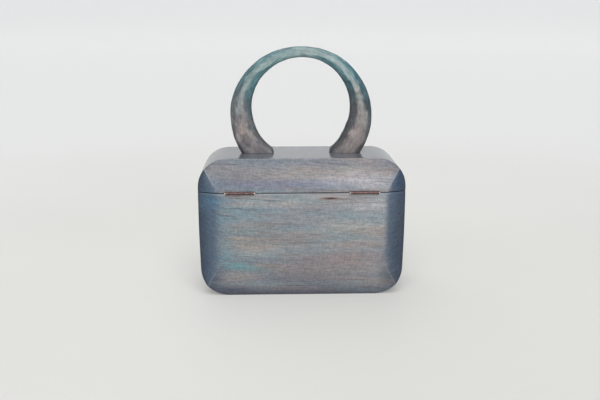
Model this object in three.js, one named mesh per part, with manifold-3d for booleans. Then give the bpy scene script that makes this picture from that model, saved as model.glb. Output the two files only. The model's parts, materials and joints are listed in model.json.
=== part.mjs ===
// Wooden handbag: a hinged box hollowed out of solid wood, with a carved loop handle on its lid.
// Millimetres, +Z up. The bag stands on z = 0, its hinges face -Y and its clasp faces +Y.
import * as THREE from "three";
import { mergeVertices } from "three/addons/utils/BufferGeometryUtils.js";
import Module from "manifold-3d";

const wasm = await Module();
wasm.setup();

// Driving dimensions of the box
const WIDTH = 210.6;
const DEPTH = 92;
const HEIGHT = 143.3;
const SEAM_HEIGHT = 109.7;
const SEAM_GAP = 0.5;
const TOP_RADIUS = 29;
const FOOT_RADIUS = 28.5;
const WALL = 8.5;

// Each bevel leans in by its drop over its width, and a curve of twice its blend softens where it starts
const SIDE_BEVEL = { width: 19, drop: 9, blend: 8 };
const TOP_BEVEL = { width: 32, drop: 8, blend: 5 };
const BASE_BEVEL = { width: 31, drop: 8, blend: 14 };
const END_LEAN = { width: 70, drop: 1.9, blend: 15 };

// The handle lies between two ellipses in the XZ plane, given from the top of the lid
const GRIP_OUTER = { halfWidth: 73.2, halfHeight: 71.6, centre: 38.1 };
const GRIP_INNER = { halfWidth: 50.4, halfHeight: 51.6, centre: 46.9 };
const HANDLE_CENTRE = 42;
const HANDLE_LAST_TURN = 152;
const TOE_HALF_SPAN = 28.2;
const FOOT_GAP = 0.2;

// Sections of half the handle, from the crown down to a foot
// turn: degrees round from the crown; halfDepth: half the thickness along Y
// edge: share of the width that each bevel takes; cheek: share of halfDepth that each bevel takes
const HANDLE_SECTIONS = [
  { turn: 0, halfDepth: 5.8, edge: 0.3, cheek: 0.55 },
  { turn: 45, halfDepth: 6.0, edge: 0.29, cheek: 0.55 },
  { turn: 90, halfDepth: 6.4, edge: 0.28, cheek: 0.55 },
  { turn: 120, halfDepth: 6.8, edge: 0.27, cheek: 0.5 },
  { turn: HANDLE_LAST_TURN, halfDepth: 7.0, edge: 0.25, cheek: 0.45 },
];
const CARVED_STEP = 9.5;
const CARVED_DEPTH = 0.35;

// Dowels between the lid and the handle's feet
const PEG = { radius: 4, fromCentre: 48, reach: 14, gap: 0.3 };

// Butt hinges let into the rims of body and lid
const HINGE = {
  fromCentre: 62.7,
  barrelLength: 28.6,
  knuckles: 5,
  knuckleRadius: 1.6,
  boreRadius: 1.05,
  pinRadius: 0.75,
  headRadius: 1.35,
  headLength: 0.8,
  leafWidth: 7.6,
  leafThickness: 0.8,
  leafGap: 0.3,
  proud: 0.8,
  clearance: 0.3,
};

// Plain clasp plate: fixed to the lid, it reaches down over the seam
const CLASP = { width: 18, above: 15, below: 11, thickness: 2.1, gap: 0.3 };

const CURVE_STEPS = 10;
const LEAN_STEPS = 4;
const ROUND_SIDES = 20;

const X = new THREE.Vector3(1, 0, 0);
const Y = new THREE.Vector3(0, 1, 0);
const Z = new THREE.Vector3(0, 0, 1);

// Solids and meshes

function solid(geometry) {
  const bare = geometry.clone();
  bare.deleteAttribute("normal");
  bare.deleteAttribute("uv");
  const merged = mergeVertices(bare, 1e-4);
  return new wasm.Manifold(
    new wasm.Mesh({
      numProp: 3,
      vertProperties: new Float32Array(merged.attributes.position.array),
      triVerts: new Uint32Array(merged.index.array),
    }),
  );
}

function named(name, body, material) {
  const made = body.getMesh();
  const geometry = new THREE.BufferGeometry();
  geometry.setAttribute("position", new THREE.BufferAttribute(made.vertProperties, 3));
  geometry.setIndex(new THREE.BufferAttribute(made.triVerts, 1));
  geometry.computeVertexNormals();
  const mesh = new THREE.Mesh(geometry, material);
  mesh.name = name;
  return mesh;
}

// A shape drawn on the axes right and up, extruded both ways from the plane between them
function prism(shape, length, right, up) {
  const geometry = new THREE.ExtrudeGeometry(shape, {
    depth: length,
    bevelEnabled: false,
    curveSegments: CURVE_STEPS,
  });
  geometry.translate(0, 0, -length / 2);
  const along = new THREE.Vector3().crossVectors(right, up);
  geometry.applyMatrix4(new THREE.Matrix4().makeBasis(right, up, along));
  return solid(geometry);
}

function block(low, high) {
  const size = new THREE.Vector3().subVectors(high, low);
  const middle = new THREE.Vector3().addVectors(low, high).multiplyScalar(0.5);
  const geometry = new THREE.BoxGeometry(size.x, size.y, size.z);
  geometry.translate(middle.x, middle.y, middle.z);
  return solid(geometry);
}

// A round bar along X, centred on the point given
function barAlongX(radius, length, x, y, z) {
  const geometry = new THREE.CylinderGeometry(radius, radius, length, ROUND_SIDES);
  geometry.rotateZ(Math.PI / 2);
  geometry.translate(x, y, z);
  return solid(geometry);
}

// A round bar along Z between two heights
function barAlongZ(radius, x, low, high) {
  const geometry = new THREE.CylinderGeometry(radius, radius, high - low, ROUND_SIDES);
  geometry.rotateX(Math.PI / 2);
  geometry.translate(x, 0, (low + high) / 2);
  return solid(geometry);
}

// Outlines of the box; inset draws the same outline that far inside

// How far a bevel has leaned in at a distance past its start
function lean(past, bevel) {
  const slope = bevel.drop / bevel.width;
  if (past <= -bevel.blend) {
    return 0;
  }
  if (past < bevel.blend) {
    return (slope * (past + bevel.blend) ** 2) / (4 * bevel.blend);
  }
  return slope * past;
}

// The right-hand end of the front outline, from the base to the top: it leans in a little towards the base
function endPoints(inset) {
  const half = WIDTH / 2 - inset;
  const foot = FOOT_RADIUS - inset;
  const top = TOP_RADIUS - inset;
  const points = [];
  for (let step = 0; step <= CURVE_STEPS; step += 1) {
    const turn = (step / CURVE_STEPS) * (Math.PI / 2);
    points.push([half - foot * (1 - Math.sin(turn)), inset + foot * (1 - Math.cos(turn))]);
  }
  for (let step = 0; step <= LEAN_STEPS; step += 1) {
    points.push([half, END_LEAN.width + END_LEAN.blend * ((2 * step) / LEAN_STEPS - 1)]);
  }
  for (let step = 0; step <= CURVE_STEPS; step += 1) {
    const turn = (step / CURVE_STEPS) * (Math.PI / 2);
    points.push([half - top * (1 - Math.cos(turn)), HEIGHT - inset - top * (1 - Math.sin(turn))]);
  }
  return points.map(([x, z]) => new THREE.Vector2(x - lean(END_LEAN.width - z, END_LEAN), z));
}

function frontOutline(inset) {
  const right = endPoints(inset);
  const left = right.map(({ x, y }) => new THREE.Vector2(-x, y)).reverse();
  return new THREE.Shape([...right, ...left]);
}

// One bevel of an outline, from its outer end back to the flat face it leans away from.
// reach is the height of the flat face, edge the place of the bevel's outer end, toEdge the way out to it.
function bevelPoints(bevel, reach, edge, toEdge) {
  const start = edge - toEdge * bevel.width;
  const slope = bevel.drop / bevel.width;
  return {
    outer: [edge, reach - bevel.drop],
    leave: [start + toEdge * bevel.blend, reach - slope * bevel.blend],
    kink: [start, reach],
    join: [start - toEdge * bevel.blend, reach],
  };
}

// The closed outline that two bevels and their mirror images make
function bevelledOutline(left, right, swap) {
  const shape = new THREE.Shape();
  const at = ([along, out], side) => (swap ? [side * out, along] : [along, side * out]);
  shape.moveTo(...at(right.outer, -1));
  shape.lineTo(...at(right.outer, 1));
  shape.lineTo(...at(right.leave, 1));
  shape.quadraticCurveTo(...at(right.kink, 1), ...at(right.join, 1));
  shape.lineTo(...at(left.join, 1));
  shape.quadraticCurveTo(...at(left.kink, 1), ...at(left.leave, 1));
  shape.lineTo(...at(left.outer, 1));
  shape.lineTo(...at(left.outer, -1));
  shape.lineTo(...at(left.leave, -1));
  shape.quadraticCurveTo(...at(left.kink, -1), ...at(left.join, -1));
  shape.lineTo(...at(right.join, -1));
  shape.quadraticCurveTo(...at(right.kink, -1), ...at(right.leave, -1));
  shape.closePath();
  return shape;
}

function planOutline(inset) {
  const halfWidth = WIDTH / 2 - inset;
  const halfDepth = DEPTH / 2 - inset;
  const left = bevelPoints(SIDE_BEVEL, halfDepth, -halfWidth, -1);
  const right = bevelPoints(SIDE_BEVEL, halfDepth, halfWidth, 1);
  return bevelledOutline(left, right, false);
}

function sideOutline(inset) {
  const halfDepth = DEPTH / 2 - inset;
  const base = bevelPoints(BASE_BEVEL, halfDepth, inset, -1);
  const top = bevelPoints(TOP_BEVEL, halfDepth, HEIGHT - inset, 1);
  return bevelledOutline(base, top, true);
}

// The box's form is what its front, plan and side outlines leave of a block, so crisp hips run to its corners
function boxForm(inset) {
  const long = 2 * (WIDTH + HEIGHT);
  const front = prism(frontOutline(inset), long, X, Z);
  const plan = prism(planOutline(inset), long, X, Y);
  const side = prism(sideOutline(inset), long, Y, Z);
  return front.intersect(plan).intersect(side);
}

function halfSpace(low, high) {
  return block(new THREE.Vector3(-WIDTH, -WIDTH, low), new THREE.Vector3(WIDTH, WIDTH, high));
}

// Hinges

const AXIS_Y = -(DEPTH / 2 + HINGE.proud);
const HINGE_SIDES = { left: -1, right: 1 };

// The stretch of the barrel along X that one knuckle takes
function knuckleSpan(centre, index) {
  const gaps = HINGE.clearance * (HINGE.knuckles - 1);
  const width = (HINGE.barrelLength - gaps) / HINGE.knuckles;
  const start = centre - HINGE.barrelLength / 2 + index * (width + HINGE.clearance);
  return { width, middle: start + width / 2 };
}

// One leaf with every second knuckle; up is 1 for the lid's leaf and -1 for the body's
function hingeLeaf(centre, up) {
  const half = HINGE.barrelLength / 2;
  const near = up * (HINGE.leafGap / 2);
  const far = up * (HINGE.leafGap / 2 + HINGE.leafThickness);
  const low = SEAM_HEIGHT + Math.min(near, far);
  const high = SEAM_HEIGHT + Math.max(near, far);
  let leaf = block(
    new THREE.Vector3(centre - half, AXIS_Y, low),
    new THREE.Vector3(centre + half, AXIS_Y + HINGE.leafWidth, high),
  );
  const ownFirst = up > 0 ? 1 : 0;
  for (let index = 0; index < HINGE.knuckles; index += 1) {
    const { width, middle } = knuckleSpan(centre, index);
    const own = index % 2 === ownFirst;
    const radius = HINGE.knuckleRadius + (own ? 0 : HINGE.clearance);
    const length = width + (own ? 0 : 2 * HINGE.clearance);
    const barrel = barAlongX(radius, length, middle, AXIS_Y, SEAM_HEIGHT);
    leaf = own ? leaf.add(barrel) : leaf.subtract(barrel);
  }
  const bore = barAlongX(HINGE.boreRadius, 2 * HINGE.barrelLength, centre, AXIS_Y, SEAM_HEIGHT);
  return leaf.subtract(bore);
}

// The pin's profile goes out from its axis round both heads
function hingePin(centre) {
  const half = HINGE.barrelLength / 2 + HINGE.clearance;
  const end = half + HINGE.headLength - HINGE.clearance;
  const dome = HINGE.headRadius * 0.6;
  const profile = [
    [0, -end],
    [dome, -end],
    [HINGE.headRadius, -half],
    [HINGE.pinRadius, -half],
    [HINGE.pinRadius, half],
    [HINGE.headRadius, half],
    [dome, end],
    [0, end],
  ];
  const points = profile.map(([radius, along]) => new THREE.Vector2(radius, along));
  const geometry = new THREE.LatheGeometry(points, ROUND_SIDES);
  geometry.rotateZ(Math.PI / 2);
  geometry.translate(centre, AXIS_Y, SEAM_HEIGHT);
  return solid(geometry);
}

// The wood cut away for one hinge, from both rims at once
function hingeRecess(centre) {
  const halfLength = HINGE.barrelLength / 2 + HINGE.headLength + HINGE.clearance;
  const leafReach = HINGE.leafGap / 2 + HINGE.leafThickness + HINGE.clearance;
  const leaves = block(
    new THREE.Vector3(centre - halfLength, AXIS_Y, SEAM_HEIGHT - leafReach),
    new THREE.Vector3(centre + halfLength, AXIS_Y + HINGE.leafWidth + HINGE.clearance, SEAM_HEIGHT + leafReach),
  );
  const grooveRadius = HINGE.knuckleRadius + HINGE.clearance;
  const groove = barAlongX(grooveRadius, 2 * halfLength, centre, AXIS_Y, SEAM_HEIGHT);
  return leaves.add(groove);
}

// Wooden shells

function hollowBox() {
  let box = boxForm(0).subtract(boxForm(WALL));
  for (const side of Object.values(HINGE_SIDES)) {
    box = box.subtract(hingeRecess(side * HINGE.fromCentre));
  }
  return box;
}

function pegHoles() {
  const radius = PEG.radius + PEG.gap;
  const low = HEIGHT - 2 * WALL;
  const high = HEIGHT + PEG.reach + PEG.gap;
  const left = barAlongZ(radius, -PEG.fromCentre, low, high);
  const right = barAlongZ(radius, PEG.fromCentre, low, high);
  return left.add(right);
}

// Handle

function mix(a, b, share) {
  return a + (b - a) * share;
}

function handleSection(turn) {
  const angle = Math.abs(turn);
  const next = Math.max(1, HANDLE_SECTIONS.findIndex((row) => row.turn >= angle));
  const [a, b] = [HANDLE_SECTIONS[next - 1], HANDLE_SECTIONS[next]];
  const share = (angle - a.turn) / (b.turn - a.turn);
  return {
    halfDepth: mix(a.halfDepth, b.halfDepth, share),
    edge: mix(a.edge, b.edge, share),
    cheek: mix(a.cheek, b.cheek, share),
  };
}

// Distance from the handle's centre to an ellipse, along the direction that a turn gives
function rayToEllipse(ellipse, turn) {
  const angle = THREE.MathUtils.degToRad(turn);
  const across = Math.sin(angle) / ellipse.halfWidth;
  const up = Math.cos(angle) / ellipse.halfHeight;
  const start = (HANDLE_CENTRE - ellipse.centre) / ellipse.halfHeight;
  const a = across * across + up * up;
  const b = start * up;
  const c = start * start - 1;
  return (-b + Math.sqrt(b * b - a * c)) / a;
}

// The eight corners of one section; knife cuts move each corner in or out a little
function handleRing(turn, station) {
  const inner = rayToEllipse(GRIP_INNER, turn);
  const outer = rayToEllipse(GRIP_OUTER, turn);
  const { halfDepth, edge, cheek } = handleSection(turn);
  const bevel = edge * (outer - inner);
  const narrow = halfDepth * (1 - cheek);
  const corners = [
    [inner, -narrow],
    [inner + bevel, -halfDepth],
    [outer - bevel, -halfDepth],
    [outer, -narrow],
    [outer, narrow],
    [outer - bevel, halfDepth],
    [inner + bevel, halfDepth],
    [inner, narrow],
  ];
  const angle = THREE.MathUtils.degToRad(turn);
  return corners.map(([radius, depth], corner) => {
    const cut = CARVED_DEPTH * Math.sin(2.1 * station + 1.7 * corner);
    const along = radius + (radius > (inner + outer) / 2 ? cut : -cut);
    const across = depth * (1 + cut / halfDepth);
    return new THREE.Vector3(
      along * Math.sin(angle),
      across,
      HEIGHT + HANDLE_CENTRE + along * Math.cos(angle),
    );
  });
}

// A closed skin over rings of equal count, with a fan of faces over each end
function loft(rings) {
  const count = rings[0].length;
  const positions = rings.flat().flatMap((point) => point.toArray());
  const faces = [];
  for (let ring = 0; ring + 1 < rings.length; ring += 1) {
    for (let corner = 0; corner < count; corner += 1) {
      const a = ring * count + corner;
      const b = ring * count + ((corner + 1) % count);
      faces.push(a, b + count, b, a, a + count, b + count);
    }
  }
  const last = (rings.length - 1) * count;
  for (let corner = 1; corner + 1 < count; corner += 1) {
    faces.push(0, corner, corner + 1);
    faces.push(last, last + corner + 1, last + corner);
  }
  const geometry = new THREE.BufferGeometry();
  geometry.setAttribute("position", new THREE.Float32BufferAttribute(positions, 3));
  geometry.setIndex(faces);
  return solid(geometry);
}

function carvedHandle() {
  const steps = Math.round((2 * HANDLE_LAST_TURN) / CARVED_STEP);
  const rings = [];
  for (let station = 0; station <= steps; station += 1) {
    const turn = -HANDLE_LAST_TURN + (2 * HANDLE_LAST_TURN * station) / steps;
    rings.push(handleRing(turn, station));
  }
  const floor = HEIGHT + FOOT_GAP;
  const toes = block(
    new THREE.Vector3(-TOE_HALF_SPAN, -WIDTH, 0),
    new THREE.Vector3(TOE_HALF_SPAN, WIDTH, floor + HANDLE_CENTRE / 2),
  );
  return loft(rings).subtract(halfSpace(0, floor)).subtract(toes).subtract(pegHoles());
}

// Clasp

// A plate that follows the far face of the box from the lid down over the seam
function claspPlate() {
  const half = CLASP.width / 2;
  const low = SEAM_HEIGHT - CLASP.below + half;
  const high = SEAM_HEIGHT + CLASP.above;
  const shape = new THREE.Shape();
  shape.moveTo(half, high);
  shape.lineTo(-half, high);
  shape.absarc(0, low, half, Math.PI, 2 * Math.PI);
  shape.closePath();
  const skin = boxForm(-CLASP.gap - CLASP.thickness).subtract(boxForm(-CLASP.gap));
  const nearSide = block(new THREE.Vector3(-WIDTH, -WIDTH, 0), new THREE.Vector3(WIDTH, 0, 2 * HEIGHT));
  return prism(shape, WIDTH, X, Z).subtract(nearSide).intersect(skin);
}

// Materials

const dyedWood = new THREE.MeshStandardMaterial({ color: 0x868a93, roughness: 0.4, metalness: 0 });
const dyedHandle = new THREE.MeshStandardMaterial({ color: 0x6f8a8c, roughness: 0.45, metalness: 0 });
const bareWood = new THREE.MeshStandardMaterial({ color: 0xc9b28f, roughness: 0.6, metalness: 0 });
const copper = new THREE.MeshStandardMaterial({ color: 0x6b463a, roughness: 0.45, metalness: 1 });
const paleMetal = new THREE.MeshStandardMaterial({ color: 0xcdbb9c, roughness: 0.4, metalness: 1 });

// Assembly

const bag = new THREE.Group();
const box = hollowBox();
const lid = box.intersect(halfSpace(SEAM_HEIGHT + SEAM_GAP / 2, 2 * HEIGHT)).subtract(pegHoles());
bag.add(named("box_body", box.intersect(halfSpace(-WALL, SEAM_HEIGHT - SEAM_GAP / 2)), dyedWood));
bag.add(named("box_lid", lid, dyedWood));
bag.add(named("handle", carvedHandle(), dyedHandle));
bag.add(named("front_clasp", claspPlate(), copper));

for (const [side, sign] of Object.entries(HINGE_SIDES)) {
  const peg = barAlongZ(PEG.radius, sign * PEG.fromCentre, HEIGHT - WALL, HEIGHT + PEG.reach);
  const centre = sign * HINGE.fromCentre;
  bag.add(named(`handle_peg_${side}`, peg, bareWood));
  bag.add(named(`hinge_${side}_body_leaf`, hingeLeaf(centre, -1), copper));
  bag.add(named(`hinge_${side}_lid_leaf`, hingeLeaf(centre, 1), copper));
  bag.add(named(`hinge_${side}_pin`, hingePin(centre), paleMetal));
}

export default bag;
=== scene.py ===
"""Dyed wooden box handbag with a carved loop handle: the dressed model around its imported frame."""

import json
import math
import random
from collections import namedtuple

import bmesh
import bpy
import numpy as np
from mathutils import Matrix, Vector

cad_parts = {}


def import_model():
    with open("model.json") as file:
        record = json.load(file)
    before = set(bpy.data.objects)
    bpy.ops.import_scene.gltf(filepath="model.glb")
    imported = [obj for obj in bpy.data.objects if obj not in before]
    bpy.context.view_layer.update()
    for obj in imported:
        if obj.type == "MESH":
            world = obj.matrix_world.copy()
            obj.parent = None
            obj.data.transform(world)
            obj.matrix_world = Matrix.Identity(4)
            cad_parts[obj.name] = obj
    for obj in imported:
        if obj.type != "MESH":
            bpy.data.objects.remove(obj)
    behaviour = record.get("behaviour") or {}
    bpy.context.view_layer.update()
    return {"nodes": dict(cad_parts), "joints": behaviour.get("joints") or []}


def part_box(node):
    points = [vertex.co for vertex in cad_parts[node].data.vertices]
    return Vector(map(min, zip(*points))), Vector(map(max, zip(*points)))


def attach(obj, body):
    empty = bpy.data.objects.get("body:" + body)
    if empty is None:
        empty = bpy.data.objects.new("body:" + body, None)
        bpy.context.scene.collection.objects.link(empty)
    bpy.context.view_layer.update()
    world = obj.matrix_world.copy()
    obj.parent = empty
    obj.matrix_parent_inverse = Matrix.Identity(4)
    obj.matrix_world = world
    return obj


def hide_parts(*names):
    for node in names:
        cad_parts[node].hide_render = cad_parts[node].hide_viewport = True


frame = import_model()

MM = 0.001

# Sizes of the box, from the frame
BODY_LOW, BODY_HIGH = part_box("box_body")
LID_LOW, LID_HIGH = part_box("box_lid")
HALF_WIDTH = BODY_HIGH.x
HALF_DEPTH = BODY_HIGH.y
HEIGHT = LID_HIGH.z
AXIS = Vector(frame["joints"][0]["pos_m"])

# Sizes of the box that its bounds don't show
TOP_RADIUS = 29 * MM
FOOT_RADIUS = 28.5 * MM
WALL = 8.5 * MM
Bevel = namedtuple("Bevel", "width drop blend")
SIDE_BEVEL = Bevel(19 * MM, 9 * MM, 8 * MM)
TOP_BEVEL = Bevel(32 * MM, 8 * MM, 5 * MM)
BASE_BEVEL = Bevel(31 * MM, 8 * MM, 14 * MM)
END_LEAN = Bevel(70 * MM, 1.9 * MM, 15 * MM)

# Places of the box mesh's columns and rows, as shares of the stretch that each list covers
RIM_STEPS = (-1, -0.975, -0.8, -0.4, 0, 0.4, 0.8, 0.975, 1)
BEVEL_STEPS = (0, 0.035, 0.12, 0.24, 0.36, 0.5, 0.62, 0.74, 0.86, 0.965, 1)
FLAT_STEPS = (1, 0.988, 0.96, 0.9, 0.75, 0.5, 0.25, 0, -0.25, -0.5, -0.75, -0.9, -0.96, -0.988, -1)
CORNER_STEPS = (0, 0.02, 0.07, 0.155, 0.26, 0.4, 0.55, 0.7, 0.85, 1)
SEAM_EDGE = 0.4 * MM
ROW_PITCH = 9 * MM
WAVE_HEIGHT = 0.12 * MM

# Reach of the marks that steer the dye, the painted shade and the painted highlights
FACE_REACH = 0.8 * MM
HIP_LOSS = 2.4 * MM
HIP_REACH = 0.45 * MM
SIDE_START = 3.6 * MM
SIDE_SOFTNESS = {-1: 12 * MM, 1: 8 * MM}
HIP_SOFTNESS = 1.2 * MM
EDGE_REACH = 1.7 * MM
TOP_EDGE = 2.3 * MM
CAVITY_SLACK = 0.5 * MM

# Handle: the two ellipses that it lies between, from the top of the lid, as in the solid
Ellipse = namedtuple("Ellipse", "half_width half_height centre")
GRIP_OUTER = Ellipse(73.2 * MM, 71.6 * MM, 38.1 * MM)
GRIP_INNER = Ellipse(50.4 * MM, 51.6 * MM, 46.9 * MM)
HANDLE_CENTRE = 42 * MM
HANDLE_LAST_TURN = 152
HANDLE_STATIONS = 230
LEFT_TOE = 28.2 * MM
RIGHT_TOE = 29.8 * MM
FOOT_GAP = 0.2 * MM

# Dowels under the handle's feet
DOWEL_RISE = 0.3 * MM
DOWEL_CHAMFER = 0.6 * MM
DOWEL_SIDES = 40

# Hinges
HINGE_CENTRE = 62.7 * MM
HINGE_CLEARANCE = 0.3 * MM
KNUCKLE_RADIUS = 1.6 * MM
LEAF_REACH = 1.25 * MM
LEAF_GAP = 0.3 * MM
LEAF_EDGE = 0.12 * MM
CLASP_EDGE = 0.5 * MM
WELD_REACH = 0.002 * MM
PIN_GROWTH = 0.2 * MM
PIN_HALF = 14.4
SCREW_OFFSETS = (-10 * MM, 0, 10 * MM)
SCREW_INSET = 2.8 * MM
SCREW_RADIUS = 1.4 * MM
SCREW_SLOT = 0.36 * MM
SCREW_RISE = 0.1 * MM
SCREW_ROOT = 0.2 * MM
SCREW_SEED = 5


def mix(a, b, share):
    return a + (b - a) * share


def soft_step(share):
    share = min(1, max(0, share))
    return share * share * (3 - 2 * share)


# Building meshes

def new_object(name, mesh):
    piece = bpy.data.objects.new(name, mesh)
    bpy.context.scene.collection.objects.link(piece)
    return piece


def mesh_from(bm, name):
    mesh = bpy.data.meshes.new(name)
    bm.to_mesh(mesh)
    bm.free()
    return mesh


def settle(piece, sharp_angle):
    """Replaces a piece's mesh by what its modifiers make of it, smooth up to an angle in degrees."""
    graph = bpy.context.evaluated_depsgraph_get()
    made = bpy.data.meshes.new_from_object(piece.evaluated_get(graph))
    piece.modifiers.clear()
    old = piece.data
    piece.data = made
    bpy.data.meshes.remove(old)
    made.shade_smooth()
    made.set_sharp_from_angle(angle=math.radians(sharp_angle))


def cut(piece, cutter):
    modifier = piece.modifiers.new("cut", "BOOLEAN")
    modifier.operation = "DIFFERENCE"
    modifier.solver = "EXACT"
    modifier.object = cutter


def weld(piece):
    """Joins the loose triangles of a solid, so that the modifiers after it see its edges."""
    modifier = piece.modifiers.new("weld", "WELD")
    modifier.merge_threshold = WELD_REACH


def soften(piece, width):
    weld(piece)
    modifier = piece.modifiers.new("soften", "BEVEL")
    modifier.width = width
    modifier.segments = 2
    modifier.limit_method = "ANGLE"
    modifier.angle_limit = math.radians(40)


def swell(piece, growth):
    weld(piece)
    modifier = piece.modifiers.new("swell", "DISPLACE")
    modifier.strength = growth
    modifier.mid_level = 0


def set_attribute(mesh, name, values):
    layer = mesh.attributes.new(name, "FLOAT", "POINT")
    layer.data.foreach_set("value", np.asarray(values, dtype=np.float32))


# Form of the box

def lean(past, bevel):
    """How far a bevel has leaned in at a distance past its start."""
    slope = bevel.drop / bevel.width
    if past <= -bevel.blend:
        return 0.0
    if past < bevel.blend:
        return slope * (past + bevel.blend) ** 2 / (4 * bevel.blend)
    return slope * past


def plan_loss(x, inset):
    return lean(abs(x) - (HALF_WIDTH - inset - SIDE_BEVEL.width), SIDE_BEVEL)


def side_loss(z, inset):
    top = lean(z - (HEIGHT - inset - TOP_BEVEL.width), TOP_BEVEL)
    base = lean(inset + BASE_BEVEL.width - z, BASE_BEVEL)
    return top + base


def corner_loss(from_end, radius):
    rise = max(0.0, radius - from_end)
    return radius - math.sqrt(max(0.0, radius ** 2 - rise ** 2))


def half_width_at(z, inset):
    """Half the width at a height: round corners, and ends that lean in a little towards the base."""
    foot = corner_loss(z - inset, FOOT_RADIUS - inset)
    top = corner_loss(HEIGHT - inset - z, TOP_RADIUS - inset)
    return HALF_WIDTH - inset - (foot + top) - lean(END_LEAN.width - z, END_LEAN)


def hip_at(z, inset):
    """Where the side bevel meets the front face at a height, measured from the middle."""
    loss = side_loss(z, inset)
    slope = SIDE_BEVEL.drop / SIDE_BEVEL.width
    blend = SIDE_BEVEL.blend
    past = loss / slope if loss > slope * blend else 2 * math.sqrt(blend * loss / slope) - blend
    return min(half_width_at(z, inset), HALF_WIDTH - inset - SIDE_BEVEL.width + past)


def half_depth_at(x, z, inset):
    return HALF_DEPTH - inset - max(plan_loss(x, inset), side_loss(z, inset))


def section(z, inset):
    """The loop of points round the box at a height, anticlockwise from the right-hand end."""
    wide = half_width_at(z, inset)
    hip = hip_at(z, inset)
    end_depth = half_depth_at(wide, z, inset)
    out = [wide + (hip - wide) * share for share in BEVEL_STEPS[:-1]]
    back = [wide + (hip - wide) * share for share in BEVEL_STEPS[:0:-1]]
    flat = [hip * share for share in FLAT_STEPS[:-1]]
    front = out + flat + [-x for x in back]
    rim = [end_depth * share for share in RIM_STEPS[:-1]]
    loop = [(wide, y) for y in rim]
    loop += [(x, half_depth_at(x, z, inset)) for x in front]
    loop += [(-wide, -y) for y in rim]
    loop += [(-x, -half_depth_at(x, z, inset)) for x in front]
    return loop


def hip_end(low, high, inset):
    """The height between two others where a hip runs out at the outline."""
    inside_low = hip_at(low, inset) < half_width_at(low, inset)
    for _ in range(40):
        middle = (low + high) / 2
        if (hip_at(middle, inset) < half_width_at(middle, inset)) == inside_low:
            low = middle
        else:
            high = middle
    return middle


def row_heights(start, end, inset):
    """Rows from the flat end of a shell at start to its rim at end."""
    towards = 1 if end > start else -1
    radius = (FOOT_RADIUS if towards > 0 else TOP_RADIUS) - inset
    corner_end = start + towards * radius
    heights = [start + towards * radius * share for share in CORNER_STEPS]
    heights.append(hip_end(start, corner_end, inset))
    last = end - towards * SEAM_EDGE
    if (last - corner_end) * towards > SEAM_EDGE:
        count = max(1, round(abs(last - corner_end) / ROW_PITCH))
        heights += [corner_end + (last - corner_end) * step / count for step in range(1, count + 1)]
    heights = [z for z in heights if (end - z) * towards > SEAM_EDGE / 2]
    return sorted(heights, reverse=towards < 0) + [end]


def wave(point):
    """A hand-sanded surface isn't quite flat: slow waves move it a little along Y."""
    x, y, z = point
    rise = math.sin(61 * x + 1.3) * math.sin(83 * z + 0.4) + 0.6 * math.sin(130 * x + 47 * z)
    return Vector((x, y + math.copysign(WAVE_HEIGHT * rise, y), z)) if abs(y) > WALL else Vector(point)


def add_shell_side(bm, heights, inset):
    """One skin of a shell: rows of points, joined, and a flat end. Returns the rim's row."""
    rows = []
    for z in heights:
        rows.append([bm.verts.new(wave((x, y, z))) for x, y in section(z, inset)])
    for lower, upper in zip(rows, rows[1:]):
        for index in range(len(lower)):
            after = (index + 1) % len(lower)
            bm.faces.new((lower[index], lower[after], upper[after], upper[index]))
    z = heights[0]
    wide = half_width_at(z, inset)
    deep = half_depth_at(wide, z, inset)
    grid = [[bm.verts.new(wave((wide * u, deep * v, z))) for u in FLAT_STEPS] for v in RIM_STEPS]
    for near, far in zip(grid, grid[1:]):
        for index in range(len(FLAT_STEPS) - 1):
            bm.faces.new((near[index], near[index + 1], far[index + 1], far[index]))
    return rows[-1]


def add_rim(bm, outer, inner):
    """The flat rim between the two skins, with a narrow strip along each edge."""
    loops = [outer]
    for share in (SEAM_EDGE / WALL, 0.5, 1 - SEAM_EDGE / WALL):
        loops.append([bm.verts.new(a.co.lerp(b.co, share)) for a, b in zip(outer, inner)])
    loops.append(inner)
    for near, far in zip(loops, loops[1:]):
        for index in range(len(near)):
            after = (index + 1) % len(near)
            bm.faces.new((near[index], near[after], far[after], far[index]))


def shell(name, end, rim):
    """A hollow half of the box, from its flat end to its rim."""
    towards = 1 if rim > end else -1
    bm = bmesh.new()
    outer = add_shell_side(bm, row_heights(end, rim, 0), 0)
    inner = add_shell_side(bm, row_heights(end + towards * WALL, rim, WALL), WALL)
    add_rim(bm, outer, inner)
    bmesh.ops.remove_doubles(bm, verts=bm.verts, dist=1e-6)
    bmesh.ops.recalc_face_normals(bm, faces=bm.faces)
    piece = new_object(name, mesh_from(bm, name))
    piece.modifiers.new("round", "SUBSURF").levels = 1
    return piece


def prism(bm, near, far):
    """A closed prism between two loops of points."""
    ends = [[bm.verts.new(point) for point in loop] for loop in (near, far)]
    bm.faces.new(ends[0])
    bm.faces.new(ends[1][::-1])
    for index in range(len(near)):
        after = (index + 1) % len(near)
        bm.faces.new((ends[0][after], ends[0][index], ends[1][index], ends[1][after]))


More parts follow.
